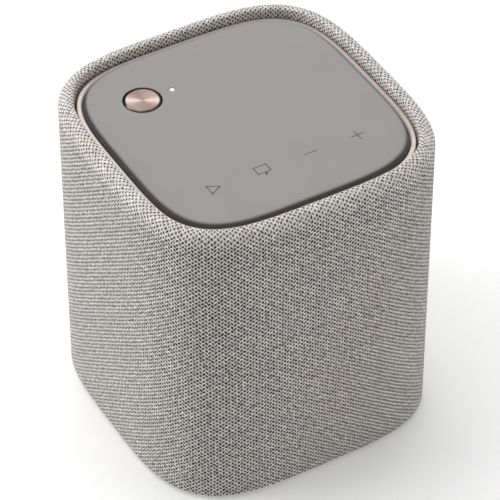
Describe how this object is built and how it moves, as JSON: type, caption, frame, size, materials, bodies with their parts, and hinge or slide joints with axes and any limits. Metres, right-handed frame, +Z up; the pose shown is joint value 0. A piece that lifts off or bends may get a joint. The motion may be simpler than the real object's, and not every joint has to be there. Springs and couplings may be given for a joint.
{
  "type": "smart speaker",
  "caption": "Cube smart speaker: knitted fabric sleeve, sunk top panel with metal power button, status light and touch keys, driver in front, passive radiator behind, rear charging inlet.",
  "frame": {"origin": "on the floor, under the middle of the square plan", "axes": "+Z up, front towards -Y (the side nearest the row of keys), +X to the right seen from the front"},
  "size_m": [0.092, 0.092, 0.1003],
  "materials": {
    "knit_fabric": "matte",
    "soft_skin": "matte",
    "pink_gold": "satin",
    "clear_plastic": "gloss",
    "lamp_white": "gloss",
    "carrier_plastic": "matte",
    "cabinet_plastic": "matte",
    "base_plastic": "matte",
    "foot_rubber": "matte",
    "bezel_plastic": "satin",
    "enclosure_plastic": "matte",
    "seal_rubber": "matte",
    "foam": "matte",
    "screw_steel": "satin",
    "basket_steel": "satin",
    "motor_steel": "satin",
    "magnet_finish": "satin",
    "cone_paper": "matte",
    "copper": "satin",
    "spider_cloth": "matte",
    "diaphragm_metal": "satin",
    "cell_wrap": "satin",
    "holder_plastic": "matte",
    "circuit_board": "satin",
    "tinned_steel": "satin",
    "switch_plastic": "satin",
    "switch_steel": "satin",
    "key_rubber": "matte"
  },
  "bodies": {
    "speaker_body": {"base_plate": "base_plastic", "base_screw_back_left": "screw_steel", "base_screw_back_right": "screw_steel", "base_screw_front_left": "screw_steel", "base_screw_front_right": "screw_steel", "battery_cell_lower": "cell_wrap", "battery_cell_upper": "cell_wrap", "battery_holder": "holder_plastic", "cabinet_shell": "cabinet_plastic", "control_board": "circuit_board", "driver_basket": "basket_steel", "driver_gasket": "foam", "driver_magnet": "magnet_finish", "driver_screw_lower_left": "screw_steel", "driver_screw_lower_right": "screw_steel", "driver_screw_upper_left": "screw_steel", "driver_screw_upper_right": "screw_steel", "driver_spider": "spider_cloth", "driver_surround": "seal_rubber", "driver_top_plate": "motor_steel", "driver_yoke": "motor_steel", "enclosure_gasket": "seal_rubber", "enclosure_lid": "enclosure_plastic", "fabric_sleeve": "knit_fabric", "filter_capacitor": "tinned_steel", "inner_enclosure": "enclosure_plastic", "lid_screw_back_left": "screw_steel", "lid_screw_back_right": "screw_steel", "lid_screw_front_left": "screw_steel", "lid_screw_front_right": "screw_steel", "light_pipe": "clear_plastic", "main_board": "circuit_board", "microphone": "tinned_steel", "play_switch": "switch_steel", "power_switch": "switch_plastic", "radiator_frame": "basket_steel", "radiator_surround": "seal_rubber", "rubber_foot": "foot_rubber", "shield_can": "tinned_steel", "status_led": "lamp_white", "top_carrier": "carrier_plastic", "top_skin": "soft_skin", "trim_ring": "pink_gold", "usb_bezel": "bezel_plastic", "usb_socket": "tinned_steel", "voice_switch": "switch_steel", "volume_down_switch": "switch_steel", "volume_up_switch": "switch_steel"},
    "power_button": {"power_button_cap": "pink_gold", "power_button_stem": "carrier_plastic"},
    "power_switch_stem": {"power_switch_stem": "switch_plastic"},
    "driver_diaphragm": {"driver_cone": "cone_paper", "driver_dust_cap": "cone_paper", "driver_voice_coil": "copper"},
    "passive_radiator": {"radiator_diaphragm": "diaphragm_metal"},
    "play_key": {"play_plunger": "key_rubber"},
    "voice_key": {"voice_plunger": "key_rubber"},
    "volume_down_key": {"volume_down_plunger": "key_rubber"},
    "volume_up_key": {"volume_up_plunger": "key_rubber"}
  },
  "joints": [
    {"name": "power_button_press", "type": "slide", "parent": "speaker_body", "child": "power_button", "axis": [0, 0, -1], "range_m": [0, 0.00035], "stiffness_N_per_m": 4500},
    {"name": "power_switch_press", "type": "slide", "parent": "speaker_body", "child": "power_switch_stem", "axis": [0, 0, -1], "range_m": [0, 0.00035]},
    {"name": "driver_excursion", "type": "slide", "parent": "speaker_body", "child": "driver_diaphragm", "axis": [0, -1, 0], "range_m": [-0.002, 0.002], "stiffness_N_per_m": 1200, "deforming": ["driver_surround", "driver_spider"]},
    {"name": "radiator_excursion", "type": "slide", "parent": "speaker_body", "child": "passive_radiator", "axis": [0, 1, 0], "range_m": [-0.003, 0.003], "stiffness_N_per_m": 700, "deforming": ["radiator_surround"]},
    {"name": "play_key_press", "type": "slide", "parent": "speaker_body", "child": "play_key", "axis": [0, 0, -1], "range_m": [0, 0.00025], "stiffness_N_per_m": 5000},
    {"name": "voice_key_press", "type": "slide", "parent": "speaker_body", "child": "voice_key", "axis": [0, 0, -1], "range_m": [0, 0.00025], "stiffness_N_per_m": 5000},
    {"name": "volume_down_key_press", "type": "slide", "parent": "speaker_body", "child": "volume_down_key", "axis": [0, 0, -1], "range_m": [0, 0.00025], "stiffness_N_per_m": 5000},
    {"name": "volume_up_key_press", "type": "slide", "parent": "speaker_body", "child": "volume_up_key", "axis": [0, 0, -1], "range_m": [0, 0.00025], "stiffness_N_per_m": 5000}
  ],
  "couplings": [
    {"joint": "power_switch_press", "follows": "power_button_press", "ratio": 1}
  ]
}
